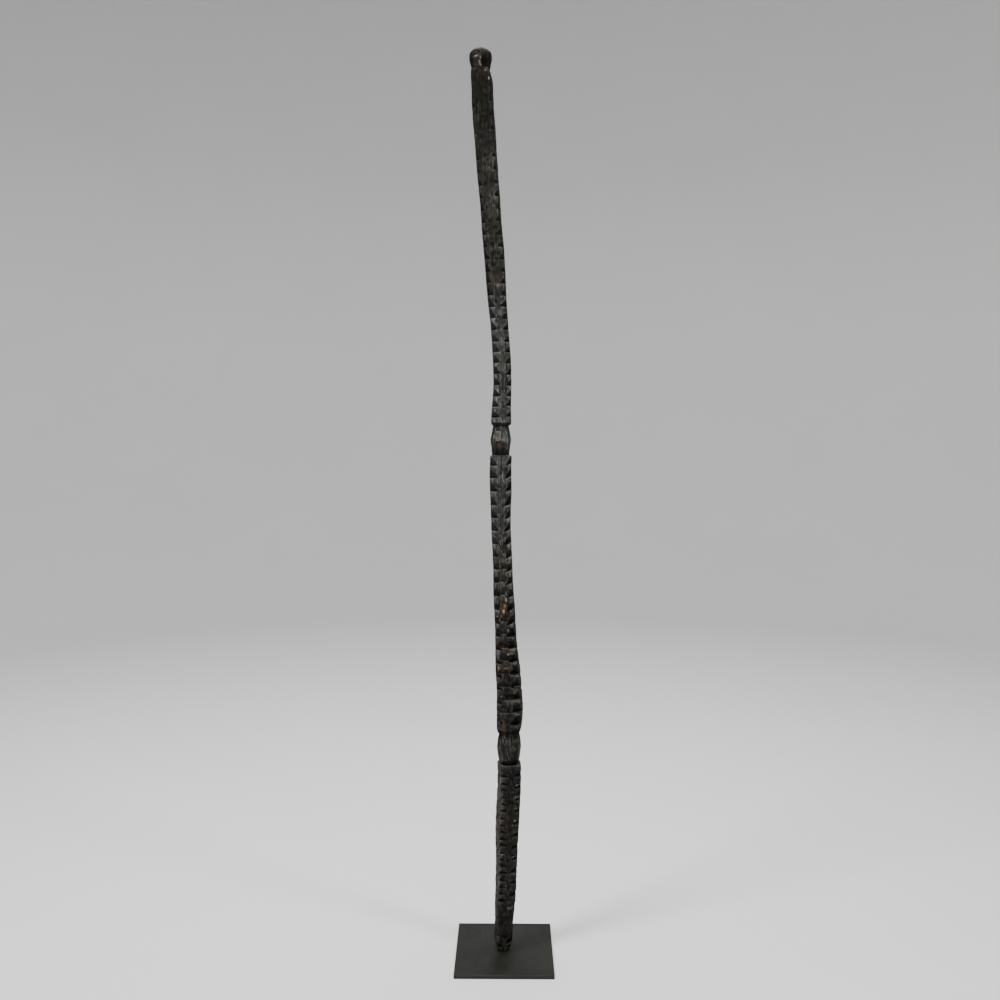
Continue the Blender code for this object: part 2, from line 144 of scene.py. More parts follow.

# Where the dark skin is rubbed through, and painted highlights: (right of the middle, height, half width,
# half height, how brown, how pale). Brown is the wood just under the skin, pale is wood scraped bare, and
# in some spots a painted highlight.
BARE_SPOTS_AND_PAINTED_HIGHLIGHTS = (
    # Finial and neck: the pale stripe down the finial's front arris is a painted highlight
    (-0.0110, 2.3215, 0.0080, 0.0012, 0.80, 0.15), (-0.0110, 2.3120, 0.0056, 0.0028, 0.05, 0.60),
    (0.0000, 2.3070, 0.0026, 0.0050, 0.00, 0.80), (-0.0022, 2.2975, 0.0032, 0.0085, 0.05, 0.50),
    (0.0010, 2.2895, 0.0030, 0.0045, 0.05, 0.42), (-0.0174, 2.2796, 0.0020, 0.0018, 0.10, 0.16),
    (0.0106, 2.2780, 0.0026, 0.0026, 0.10, 0.50), (0.0180, 2.2560, 0.0026, 0.0028, 0.00, 0.95),
    (0.0129, 2.2216, 0.0022, 0.0028, 0.00, 0.70), (0.0200, 2.2152, 0.0020, 0.0020, 0.00, 0.40),
    # Upper length
    (-0.0096, 1.7592, 0.0130, 0.0140, 0.40, 0.00), (0.0035, 1.7429, 0.0052, 0.0026, 0.50, 0.40),
    (0.0118, 1.7405, 0.0065, 0.0024, 0.40, 0.60), (-0.0120, 1.4760, 0.0022, 0.0050, 0.00, 0.50),
    (0.0006, 1.4700, 0.0010, 0.0200, 0.00, 0.25), (-0.0128, 1.4520, 0.0022, 0.0060, 0.00, 0.60),
    (-0.0160, 1.4260, 0.0020, 0.0050, 0.00, 0.28), (-0.0070, 1.4020, 0.0050, 0.0090, 0.30, 0.00),
    (0.0095, 1.4010, 0.0030, 0.0060, 0.00, 0.20), (-0.0180, 1.4000, 0.0024, 0.0050, 0.00, 0.45),
    (0.0030, 1.3970, 0.0016, 0.0034, 0.00, 0.75),
    # Upper bead
    (-0.0005, 1.3620, 0.0010, 0.0110, 0.00, 0.45), (-0.0178, 1.3600, 0.0018, 0.0090, 0.50, 0.60),
    (-0.0050, 1.3500, 0.0050, 0.0010, 0.00, 0.40), (-0.0020, 1.3400, 0.0150, 0.0100, 0.60, 0.00),
    # Middle length, upper half
    (0.0179, 1.0500, 0.0020, 0.0024, 0.00, 0.50), (-0.0200, 1.0170, 0.0030, 0.0024, 0.00, 0.40),
    # The bared patch in its middle
    (0.0062, 0.9590, 0.0024, 0.0060, 0.00, 0.45), (-0.0251, 0.9440, 0.0025, 0.0070, 0.00, 0.30),
    (0.0054, 0.9430, 0.0030, 0.0080, 0.20, 0.90), (0.0016, 0.9260, 0.0034, 0.0075, 0.80, 1.00),
    (-0.0030, 0.9170, 0.0100, 0.0190, 0.95, 0.00), (-0.0022, 0.9120, 0.0034, 0.0070, 1.00, 0.95),
    (-0.0100, 0.8990, 0.0024, 0.0030, 0.40, 0.50), (-0.0187, 0.8983, 0.0035, 0.0040, 0.45, 0.50),
    (-0.0030, 0.8960, 0.0060, 0.0080, 0.45, 0.00), (0.0070, 0.8610, 0.0030, 0.0060, 0.20, 0.60),
    # Foot of the middle length: the thin pale bars on its notch ledges are painted ledge highlights
    (-0.0175, 0.8304, 0.0085, 0.0110, 0.65, 0.00), (0.0185, 0.8125, 0.0085, 0.0022, 0.00, 0.35),
    (0.0115, 0.8020, 0.0070, 0.0045, 0.55, 0.15), (0.0039, 0.8000, 0.0036, 0.0030, 0.80, 0.80),
    (-0.0228, 0.7960, 0.0045, 0.0130, 0.00, 0.28), (0.0215, 0.7785, 0.0060, 0.0022, 0.00, 0.30),
    (-0.0080, 0.7660, 0.0190, 0.0085, 0.60, 0.00), (-0.0040, 0.7640, 0.0070, 0.0016, 0.40, 0.55),
    (-0.0235, 0.7640, 0.0022, 0.0090, 0.10, 0.60), (0.0235, 0.7435, 0.0060, 0.0020, 0.00, 0.32),
    (0.0176, 0.7134, 0.0075, 0.0018, 0.10, 0.50), (0.0230, 0.7130, 0.0060, 0.0020, 0.00, 0.28),
    (-0.0215, 0.6900, 0.0050, 0.0020, 0.00, 0.28), (0.0150, 0.6790, 0.0140, 0.0045, 0.25, 0.13),
    (0.0245, 0.6765, 0.0030, 0.0055, 0.10, 0.25), (0.0059, 0.6720, 0.0018, 0.0022, 0.00, 0.32),
    (0.0059, 0.6630, 0.0020, 0.0120, 0.20, 0.12), (-0.0205, 0.6560, 0.0040, 0.0018, 0.00, 0.30),
    (-0.0205, 0.6420, 0.0036, 0.0018, 0.00, 0.30), (-0.0205, 0.6270, 0.0036, 0.0018, 0.00, 0.28),
    (-0.0165, 0.6140, 0.0026, 0.0180, 0.85, 0.03), (-0.0118, 0.6050, 0.0026, 0.0190, 0.85, 0.05),
    # Lower bead
    (-0.0126, 0.5830, 0.0030, 0.0060, 0.00, 0.28), (-0.0020, 0.5660, 0.0012, 0.0050, 0.00, 0.35),
    (-0.0225, 0.5600, 0.0012, 0.0200, 0.00, 0.22), (0.0105, 0.5500, 0.0070, 0.0200, 0.22, 0.00),
    (-0.0180, 0.5300, 0.0014, 0.0140, 0.00, 0.25),
    # Lower length: the thin pale bars on the notch ledges are painted ledge highlights
    (-0.0232, 0.4650, 0.0012, 0.0160, 0.00, 0.30), (0.0210, 0.4550, 0.0060, 0.0026, 0.00, 0.42),
    (-0.0262, 0.4300, 0.0014, 0.0380, 0.00, 0.24), (0.0205, 0.4240, 0.0060, 0.0026, 0.00, 0.42),
    (0.0200, 0.3935, 0.0060, 0.0026, 0.00, 0.42), (-0.0036, 0.3611, 0.0160, 0.0230, 0.22, 0.00),
    (0.0190, 0.3610, 0.0065, 0.0032, 0.00, 0.40), (0.0145, 0.3500, 0.0030, 0.0020, 0.00, 0.34),
    (0.0170, 0.3340, 0.0050, 0.0020, 0.00, 0.24), (-0.0105, 0.2730, 0.0070, 0.0015, 0.00, 0.50),
    (0.0190, 0.2640, 0.0055, 0.0024, 0.00, 0.42), (-0.0190, 0.1950, 0.0030, 0.0160, 0.00, 0.14),
    (0.0110, 0.1284, 0.0120, 0.0020, 0.00, 0.30), (0.0175, 0.1284, 0.0064, 0.0030, 0.00, 0.48),
    (-0.0150, 0.0510, 0.0030, 0.0050, 0.00, 0.06),
)

# Stains, rubbed places, and painted light and shade that only change how light the skin is: (right of the
# middle, height, half width, half height, how many times as light)
STAINS_AND_PAINTED_LIGHT = (
    # Finial and neck: the lighter left-front facet and the bright stripe down its front arris are painted
    # light, the darker right-front facet painted shade
    (-0.0110, 2.3240, 0.0130, 0.0060, 0.45), (0.0120, 2.3060, 0.0095, 0.0220, 0.75),
    (-0.0225, 2.3050, 0.0050, 0.0220, 0.35), (-0.0110, 2.3000, 0.0100, 0.0160, 2.00),
    (0.0015, 2.3000, 0.0020, 0.0140, 2.00), (0.0085, 2.3000, 0.0050, 0.0200, 0.70),
    (-0.0190, 2.2680, 0.0100, 0.0250, 0.45), (0.0000, 2.2350, 0.0220, 0.0500, 0.85),
    (-0.0200, 2.2000, 0.0070, 0.0500, 0.75),
    # Upper length
    (-0.0190, 2.1900, 0.0070, 0.0120, 0.60), (0.0020, 2.0400, 0.0160, 0.0250, 1.35),
    (-0.0210, 1.9600, 0.0080, 0.2300, 0.74), (0.0040, 1.9450, 0.0150, 0.0450, 1.40),
    (-0.0060, 1.8100, 0.0120, 0.0400, 0.85), (-0.0210, 1.7900, 0.0080, 0.0750, 0.62),
    (-0.0190, 1.6000, 0.0080, 0.0600, 1.40), (0.0190, 1.6000, 0.0080, 0.0600, 0.82),
    # Upper bead: its lighter upper facets are painted light, the dark band at its foot painted shade
    (-0.0200, 1.3700, 0.0030, 0.0180, 0.30), (-0.0060, 1.3620, 0.0065, 0.0120, 1.90),
    (0.0120, 1.3600, 0.0090, 0.0200, 1.90), (-0.0190, 1.3450, 0.0060, 0.0350, 0.60),
    (0.0200, 1.3400, 0.0060, 0.0300, 1.20), (0.0000, 1.3210, 0.0240, 0.0130, 0.36),
    # Middle length, upper half
    (0.0000, 1.2980, 0.0240, 0.0180, 1.35), (0.0000, 1.2550, 0.0110, 0.0400, 1.25),
    (-0.0220, 1.2000, 0.0070, 0.0900, 0.80), (0.0000, 1.1500, 0.0120, 0.0700, 1.25),
    (-0.0200, 1.1000, 0.0080, 0.0650, 1.22), (0.0200, 1.1000, 0.0080, 0.0650, 1.35),
    # The bared patch in its middle
    (0.0200, 0.9400, 0.0080, 0.0230, 1.50), (-0.0200, 0.9400, 0.0080, 0.0250, 1.30),
    (0.0085, 0.9150, 0.0040, 0.0090, 0.30), (-0.0190, 0.9000, 0.0080, 0.0550, 1.75),
    (0.0200, 0.8700, 0.0080, 0.0230, 1.35),
    # Foot of the middle length
    (-0.0205, 0.8000, 0.0070, 0.0200, 1.70), (0.0000, 0.7250, 0.0200, 0.0250, 0.80),
    (0.0200, 0.7150, 0.0100, 0.0150, 0.80),
    # Lower length
    (-0.0190, 0.3200, 0.0080, 0.1900, 1.45), (0.0000, 0.3000, 0.0120, 0.2000, 0.90),
    (0.0130, 0.0700, 0.0100, 0.0300, 1.30),
)

# How black the painted shade on the notches' downward faces is, and how pale their ledges are with dust and
# painted highlight, at each height
PAINTED_UNDERSIDE_SHADE_BY_HEIGHT = (
    (0.00, 1.00), (0.95, 0.95), (1.05, 0.84), (1.36, 0.82),
    (1.42, 0.78), (1.70, 0.74), (1.82, 0.45), (2.34, 0.40),
)
LEDGE_DUST_AND_HIGHLIGHT_BY_HEIGHT = (
    (0.00, 1.00), (0.95, 1.00), (1.05, 0.75), (1.42, 0.70),
    (1.70, 0.55), (1.85, 0.30), (2.20, 0.30), (2.28, 0.45),
)

# How light the skin is at each height: palest from about 1.15 to 1.66 m up; the lift at the very foot is
# painted light on the toe, which faces down into shade
SKIN_TONE_AND_PAINTED_LIGHT = (
    (0.00, 2.60), (0.022, 2.20), (0.035, 0.80), (0.20, 0.92), (0.50, 0.90), (0.53, 1.15), (0.62, 1.05),
    (0.90, 1.20), (1.00, 1.80), (1.15, 2.25), (1.45, 2.85), (1.66, 2.70), (1.76, 1.60), (1.90, 1.35),
    (2.00, 1.40), (2.12, 1.05), (2.20, 0.78), (2.26, 0.72), (2.34, 1.00),
)

# Heights between which a look sets in or gives out, read upward: (where it begins to, where it is done)
NOTCH_SHADE_START = (0.018, 0.036)
RIGHT_SHADE_END = (0.38, 0.42)
SOFT_LEFT_START, SOFT_LEFT_END = (0.97, 1.02), (1.29, 1.39)
DEEPEST_PAINTED_SHADE_END = (1.29, 1.33)
COOL_START, COOL_END = (1.08, 1.14), (1.72, 1.82)
OLIVE_START = (1.70, 2.00)
NECK_BROWN_START, NECK_BROWN_END = (2.235, 2.262), (2.284, 2.294)

# Wood colours
SKIN_DARK, SKIN_PALE = (0.0090, 0.0086, 0.0076), (0.0190, 0.0183, 0.0162)
MOTTLED = (0.0320, 0.0310, 0.0274)
BLOTCHED = (0.0062, 0.0060, 0.0054)
FIBRE = (0.048, 0.0465, 0.0415)
OLIVE = (0.0170, 0.0176, 0.0108)
VIOLET_GREY = (0.0150, 0.0146, 0.0160)
NECK_BROWN = (0.0230, 0.0165, 0.0115)
CHAFED_AND_PAINTED_HIGHLIGHT = (0.068, 0.0655, 0.0600)
DUST_AND_PAINTED_HIGHLIGHT = (0.078, 0.0760, 0.0700)
COOL_TINT = (0.96, 0.99, 1.06)
HOLLOW_GRIME_AND_PAINTED_SHADE = (0.0048, 0.0044, 0.0040)
RUBBED_DARK, RUBBED_PALE = (0.032, 0.0190, 0.0115), (0.080, 0.0500, 0.0320)
# Painted shade on downward faces, and the deepest painted shade on right-facing ones
PAINTED_UNDERSIDE_SHADE_DARK, PAINTED_UNDERSIDE_SHADE_PALE = (0.0040, 0.0036, 0.0032), (0.0085, 0.0075, 0.0064)
DEEPEST_PAINTED_SHADE = (0.0022, 0.0018, 0.0014)
GREYED_DARK, GREYED_PALE = (0.15, 0.147, 0.138), (0.38, 0.375, 0.355)
FRESH_DARK, FRESH_PALE = (0.20, 0.125, 0.075), (0.50, 0.400, 0.290)

# Steel and paper colours
STEEL_DARK, STEEL_PALE = (0.0098, 0.0102, 0.0080), (0.0145, 0.0150, 0.0120)
SCRATCH = (0.050, 0.050, 0.046)
PAPER_DARK, PAPER_PALE = (0.80, 0.80, 0.80), (0.84, 0.84, 0.84)

# Large odd numbers that stir a cell's place and a seed into one random number of 32 bits
STIR_X, STIR_Y, STIR_Z, STIR_SEED = map(np.uint64, (374761393, 668265263, 2246822519, 3266489917))
LOW_32_BITS = np.uint64(0xFFFFFFFF)

# The mix node's two colour inputs and its colour output, by number, as its other sockets share their names
MIX_FIRST, MIX_SECOND, MIX_RESULT = 6, 7, 2


# ---------------------------------------------------------------- noise

def lattice(cells, seed):
    """A repeatable random number from 0 to 1 for each whole-number cell."""
    whole = cells.astype(np.int64).astype(np.uint64)
    stirred = whole[..., 0] * STIR_X + whole[..., 1] * STIR_Y + whole[..., 2] * STIR_Z
    stirred = (stirred + np.uint64(seed) * STIR_SEED) & LOW_32_BITS
    for bits, stir in ((15, STIR_Z), (13, STIR_SEED)):
        stirred = ((stirred ^ (stirred >> np.uint64(bits))) * stir) & LOW_32_BITS
    return (stirred ^ (stirred >> np.uint64(16))).astype(np.float64) / 2**32


def noise(points, seed):
    """Smooth noise from -1 to 1, one wave to about two units."""
    low = np.floor(points)
    t = points - low
    t = t * t * (3 - 2 * t)
    total = np.zeros(len(points))
    for corner in range(8):
        step = np.array([corner & 1, corner >> 1 & 1, corner >> 2 & 1])
        weight = np.prod(np.where(step, t, 1 - t), axis=1)
        total += weight * lattice(low + step, seed)
    return 2 * total - 1


def layered(points, seed):
    """Three layers of noise, each twice as fine and half as strong as the last."""
    total, size, reach = np.zeros(len(points)), 1.0, 0.0
    for layer in range(3):
        total += size * noise(points * 2**layer, seed + 17 * layer)
        reach += size
        size *= 0.5
    return total / reach


def nearest_spot(points, seed):
    """Distance to the nearest of one randomly placed spot per cell."""
    low = np.floor(points)
    nearest = np.full(len(points), np.inf)
    for dx in (-1, 0, 1):
        for dy in (-1, 0, 1):
            for dz in (-1, 0, 1):
                cell = low + (dx, dy, dz)
                spot = cell + np.stack([lattice(cell, seed + k) for k in range(3)], axis=1)
                nearest = np.minimum(nearest, np.sqrt(((points - spot) ** 2).sum(1)))
    return nearest


def ease(value, low, high):
    """0 up to low, 1 from high on, and a soft step between."""
    t = np.clip((value - low) / (high - low), 0, 1)
    return t * t * (3 - 2 * t)


def between(value, low, high, soft):
    """1 between low and high, fading to 0 outside them."""
    return ease(value, low - soft, low + soft) * (1 - ease(value, high - soft, high + soft))


def at_height(z, table):
    """The table's second column, read at each height."""
    return np.interp(z, *zip(*table))


# ---------------------------------------------------------------- meshes

def evaluated_copy(obj, name):
    """A new object holding obj's mesh with its modifiers applied."""
    graph = bpy.context.evaluated_depsgraph_get()
    mesh = bpy.data.meshes.new_from_object(obj.evaluated_get(graph), depsgraph=graph)
    mesh.name = name
    made = bpy.data.objects.new(name, mesh)
    bpy.context.scene.collection.objects.link(made)
    return made


def modified(obj, name, kind, **settings):
    """obj with one modifier applied, as a new object. obj is removed."""
    step = obj.modifiers.new(kind.lower(), kind)
    for key, value in settings.items():
        setattr(step, key, value)
    made = evaluated_copy(obj, name)
    bpy.data.objects.remove(obj, do_unlink=True)
    return made


def points_of(mesh):
    co = np.empty(len(mesh.vertices) * 3, np.float32)
    mesh.vertices.foreach_get("co", co)
    return co.reshape(-1, 3).astype(np.float64)


def normals_of(mesh):
    no = np.empty(len(mesh.vertices) * 3, np.float32)
    mesh.vertex_normals.foreach_get("vector", no)
    return no.reshape(-1, 3).astype(np.float64)


def edges_of(mesh):
    ends = np.empty(len(mesh.edges) * 2, np.int32)
    mesh.edges.foreach_get("vertices", ends)
    return ends.reshape(-1, 2)


def move_to(mesh, co):
    mesh.vertices.foreach_set("co", co.astype(np.float32).ravel())
    mesh.update()


def store(mesh, name, values):
    attribute = mesh.attributes.new(name, "FLOAT", "POINT")
    attribute.data.foreach_set("value", values.astype(np.float32))


def averaged(values, ends, rounds):
    """Each vertex's values, averaged with its neighbours' a number of times."""
    count = np.bincount(ends.ravel(), minlength=len(values)).clip(1)
    values = values.copy()
    flat = values.reshape(len(values), -1)
    for _ in range(rounds):
        for k in range(flat.shape[1]):
            column = flat[:, k]
            total = np.bincount(ends[:, 0], column[ends[:, 1]], len(column))
            total += np.bincount(ends[:, 1], column[ends[:, 0]], len(column))
            flat[:, k] = 0.5 * column + 0.5 * total / count
    return values


def drop_specks(mesh):
    """Deletes the few faces that remeshing and decimating leave loose, joined to nothing else."""
    ends = edges_of(mesh)
    lowest, before = np.arange(len(mesh.vertices)), None
    while before is None or (lowest != before).any():
        before = lowest.copy()
        np.minimum.at(lowest, ends[:, 0], before[ends[:, 1]])
        np.minimum.at(lowest, ends[:, 1], before[ends[:, 0]])
        lowest = lowest[lowest]
    main = np.bincount(lowest).argmax()
    work = bmesh.new()
    work.from_mesh(mesh)
    specks = [vertex for vertex, group in zip(work.verts, lowest) if group != main]
    bmesh.ops.delete(work, geom=specks, context="VERTS")
    work.to_mesh(mesh)
    work.free()


# ---------------------------------------------------------------- the pole's surface

def from_middle(co):
    """How far each vertex lies to the right of the pole's middle at its height."""
    slice_height = 0.010
    slices = np.floor(co[:, 2] / slice_height).astype(int)
    count = slices.max() + 1
    low, high = np.full(count, np.inf), np.full(count, -np.inf)
    np.minimum.at(low, slices, co[:, 0])
    np.maximum.at(high, slices, co[:, 0])
    filled = np.isfinite(low)
    heights = (np.arange(count) + 0.5) * slice_height
    middle = np.interp(heights, heights[filled], ((low + high) / 2)[filled])
    kernel = np.hanning(9)[1:-1]
    kernel /= kernel.sum()
    middle = np.convolve(np.pad(middle, 3, mode="edge"), kernel, mode="valid")
    return co[:, 0] - np.interp(co[:, 2], heights, middle)


def tool_marks(co):
    """Shallow scoops that an adze leaves."""
    broad = nearest_spot(co * BROAD_SCOOPS, 11)
    small = nearest_spot(co * SMALL_SCOOPS + SMALL_SHIFT, 23)
    return BROAD_DEPTH * (1 - ease(broad, 0.0, 0.75)) + SMALL_DEPTH * (1 - ease(small, 0.0, 0.75))


def rough_scoops(co):
    """Deeper scoops where the pole is most worn."""
    scoop = nearest_spot(co * ROUGH_SCOOPS + ROUGH_SHIFT, 37)
    return at_height(co[:, 2], ROUGH_DEPTHS) * (1 - ease(scoop, 0.0, 0.70))


def swayed(co, sway, bends, seed):
    """The points pushed a little sideways, so that what runs along the pole wavers."""
    pushes = [noise(co * bends, seed), noise(co * bends, seed + 1), np.zeros(len(co))]
    return co + sway * np.stack(pushes, axis=1)


def grain(co):
    """Long weathered furrows along the pole."""
    bent = swayed(co, GRAIN_SWAY, GRAIN_BENDS, 31)
    furrow = 1 - np.abs(noise(bent * FURROWS, 41))
    fine = 1 - np.abs(noise(bent * FINE_FURROWS, 43))
    return FURROW_DEPTH * ease(furrow, 0.72, 1.0) + FINE_DEPTH * ease(fine, 0.60, 1.0)


def cracks(co):
    """Drying cracks: a few thin deep splits along the grain."""
    bent = swayed(co, CRACK_SWAY, CRACK_BENDS, 51)
    line = np.abs(noise(bent * CRACKS, 53))
    where = ease(noise(co * CRACKED_PLACES, 57), 0.30, 0.60)
    return CRACK_DEPTH * where * (1 - ease(line, 0.0, 0.050))


def groove(x, z, start, end, width, depth):
    """A V cut along one straight stroke of the knife."""
    way = np.subtract(end, start)
    share = ((x - start[0]) * way[0] + (z - start[1]) * way[1]) / (way @ way)
    share = np.clip(share, 0, 1)
    off = np.hypot(x - start[0] - share * way[0], z - start[1] - share * way[1])
    return depth * np.clip(1 - off / (width / 2), 0, 1)


def leaf(x, z, foot, tip, middle, half_width, depth):
    """A pointed leaf, hollowed to a line down its middle."""
    share = np.clip((z - foot) / (tip - foot), 0, 1)
    reach = half_width * np.sin(math.pi * share) ** 0.8
    inside = np.clip(1 - np.abs(x - middle) / np.maximum(reach, 1e-6), 0, 1)
    return depth * inside * (reach > 1e-4)


def front_cuts(x, z):
    """The small cuts on the pole's front, between its runs of notches."""
    depth = leaf(x, z, **LEAF)
    for tip in FAN_TIPS:
        depth = np.maximum(depth, groove(x, z, FAN_ROOT, tip, FAN_WIDTH, FAN_DEPTH))
    for start, end in STROKES:
        depth = np.maximum(depth, groove(x, z, start, end, STROKE_WIDTH, STROKE_DEPTH))
    panel = ease(x, *PANEL_LEFT) * (1 - ease(x, *PANEL_RIGHT))
    panel *= ease(z, *PANEL_FOOT) * (1 - ease(z, *PANEL_HEAD))
    return depth - PANEL_RISE * panel


def finely_worked(z):
    """1 on the finial and the two beads, which are cut finer than the rest, and 0 elsewhere."""
    finial = ease(z, NECK - 0.002, NECK + 0.006)
    lower_bead = between(z, LOWER_TOP, MIDDLE_BOTTOM, 0.003)
    upper_bead = between(z, MIDDLE_TOP, UPPER_BOTTOM, 0.003)
    return np.maximum.reduce([finial, lower_bead, upper_bead])


def wear(co, normal, ends):
    """How deep the arrises are rounded, and how deep they are chipped."""
    close = averaged(co, ends, 4)
    soft = averaged(close, ends, 6)
    proud_close = np.clip(((co - close) * normal).sum(1), 0, None)
    proud = ((co - soft) * normal).sum(1)
    handled = ease(layered(co * HANDLED_PLACES, 61), -0.30, 0.55)
    rounded = proud_close * (0.10 + 0.80 * handled)
    chipped = ease(proud, 0.00012, 0.00045) * ease(layered(co * CHIPS, 67), 0.22, 0.45) * CHIP_DEPTH
    return rounded, chipped


def carve(obj):
    """Works the weathered, hand-cut surface on the dense mesh."""
    mesh = obj.data
    co, normal = points_of(mesh), normals_of(mesh)
    x, z = from_middle(co), co[:, 2]
    rounded, chipped = wear(co, normal, edges_of(mesh))
    fine = finely_worked(z)
    depth = (tool_marks(co) + grain(co)) * (1 - 0.65 * fine) + cracks(co) * (1 - fine)
    depth += SWELL_DEPTH * layered(co * SWELLS, 71) * (1 - 0.8 * fine)
    depth += rough_scoops(co) * (1 - fine)
    depth += rounded * (1 - 0.7 * fine) + chipped - SKIN_LIFT
    depth += ease(-normal[:, 1], 0.35, 0.75) * front_cuts(x, z)
    above_foot = ease(z, z.min() + 0.0005, z.min() + 0.006)
    move_to(mesh, co - normal * (depth * above_foot)[:, None])


# ---------------------------------------------------------------- what the wood's material is told

def away_from(x, z, spot):
    """How far each vertex is from a spot's middle: 1 at the spot's half width or half height."""
    spot_x, spot_z, half_width, half_height = spot
    return np.hypot((x - spot_x) / half_width, (z - spot_z) / half_height)


def bare_wood_and_painted_highlights(co, normal):
    """How far the dark skin is rubbed to brown wood, and how far to pale wood, each from 0 to 1; the pale
    share also holds painted highlights.
    """
    x, z = from_middle(co), co[:, 2]
    ragged = layered(co * SPOT_EDGES, 83)
    brown, pale = np.zeros(len(co)), np.zeros(len(co))
    for *spot, browned, bared in BARE_SPOTS_AND_PAINTED_HIGHLIGHTS:
        away = away_from(x, z, spot)
        brown = np.maximum(brown, browned * ease(1.25 - away + 0.50 * ragged, 0.05, 0.60))
        pale = np.maximum(pale, bared * ease(1.00 - away + 0.35 * ragged, 0.05, 0.50))
    on_front = ease(-normal[:, 1], 0.02, 0.20)
    return brown * on_front, pale * on_front


def tone_and_painted_light(co, normal):
    """How light the skin is, from its height, its side and its stains, with painted shade on right-facing
    sides and painted light and shade among the stains. 1 is a dark brown black.
    """
    x, z = from_middle(co), co[:, 2]
    light = at_height(z, SKIN_TONE_AND_PAINTED_LIGHT)
    left, right = ease(-normal[:, 0], 0.50, 0.85), ease(normal[:, 0], 0.50, 0.85)
    toward = ease(-normal[:, 1], 0.0, 0.12)
    # Darker on left-facing sides above the lower bead
    light *= 1 - (0.30 + 0.25 * toward) * left * ease(z, LOWER_TOP, MIDDLE_BOTTOM)
    # Painted shade on right-facing sides, darker still on front-turned ones low down
    low_down = 1 - ease(z, *RIGHT_SHADE_END)
    light *= 1 - (0.35 + 0.20 * toward + 0.25 * toward * low_down) * right
    ragged = layered(co * STAIN_EDGES, 87)
    on_front = ease(-normal[:, 1], 0.1, 0.4)
    for *spot, times in STAINS_AND_PAINTED_LIGHT:
        light *= times ** (on_front * ease(1.15 - away_from(x, z, spot) + 0.35 * ragged, 0.05, 0.55))
    return light


def painted_underside_shade(co, normal, tilt):
    """How far each vertex faces down, how black the painted shade makes it there, and how much blacker
    still on the right.
    """
    z = co[:, 2]
    facing_down = ease(-tilt + 0.10 * layered(co * UNDERSIDE_EDGES, 91), 0.10, 0.26)
    facing_down *= ease(z, *NOTCH_SHADE_START)
    soft_left = ease(normal[:, 0], 0.0, -0.35) * ease(z, *SOFT_LEFT_START)
    soft_left *= 1 - 0.5 * ease(z, *SOFT_LEFT_END)
    under = facing_down * (1 - 0.40 * soft_left) * at_height(z, PAINTED_UNDERSIDE_SHADE_BY_HEIGHT)
    deep = under * ease(normal[:, 0], 0.05, 0.30) * (1 - ease(z, *DEEPEST_PAINTED_SHADE_END))
    return facing_down, under, deep


def describe(mesh):
    """Stores what the wood's material needs to know at each vertex."""
    co, normal, ends = points_of(mesh), normals_of(mesh), edges_of(mesh)
    soft = averaged(co, ends, 5)
    softer = averaged(soft, ends, 18)
    proud = ((co - soft) * normal).sum(1)
    proud_wide = ((co - softer) * normal).sum(1)
    tilt = averaged(normal[:, 2], ends, 2)
    facing_down, under, deep = painted_underside_shade(co, normal, tilt)
    brown, pale = bare_wood_and_painted_highlights(co, normal)
    # Proud arrises, which the material paints pale as wear and as painted highlight
    store(mesh, "worn", ease(proud, 0.00005, 0.00032) * (1 - facing_down))
    # Hollows, which the material darkens as grime and as painted shade
    store(mesh, "hollow", np.maximum(ease(-proud, 0.00004, 0.00030), ease(-proud_wide, 0.0003, 0.0016)))
    # Up-facing ledges, which the material paints pale as dust and as painted highlight
    store(mesh, "ledge", ease(tilt, 0.38, 0.72) * at_height(co[:, 2], LEDGE_DUST_AND_HIGHLIGHT_BY_HEIGHT))
    # Painted shade on downward faces, and deeper painted shade on right-facing ones below the upper bead
    store(mesh, "under", under)
    store(mesh, "deep", deep)
    # The skin's tone, with painted shade on right-facing sides and painted light and shade from some stains
    store(mesh, "light", tone_and_painted_light(co, normal))
    store(mesh, "brown", brown)
    # Pale share: scraped bare wood, and painted highlights on the finial's arris and the notch ledges
    store(mesh, "pale", pale)


def carved_pole(material):
    """The worked pole, which takes the place of its own plain solid."""
    pole = evaluated_copy(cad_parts["carved_post"], "pole_start")
    pole = modified(pole, "pole_dense", "REMESH", mode="VOXEL", voxel_size=VOXEL, adaptivity=0.0)
    carve(pole)
    triangles = sum(len(p.vertices) - 2 for p in pole.data.polygons)
    ratio = min(1.0, KEPT_TRIANGLES / triangles)
    pole = modified(pole, "carved_pole", "DECIMATE", ratio=ratio, use_collapse_triangulate=True)
    drop_specks(pole.data)
    describe(pole.data)
    pole.data.materials.clear()
    pole.data.materials.append(material)
    pole.data.polygons.foreach_set("use_smooth", [True] * len(pole.data.polygons))
    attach(pole, "root")
    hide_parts("carved_post")


# ---------------------------------------------------------------- materials

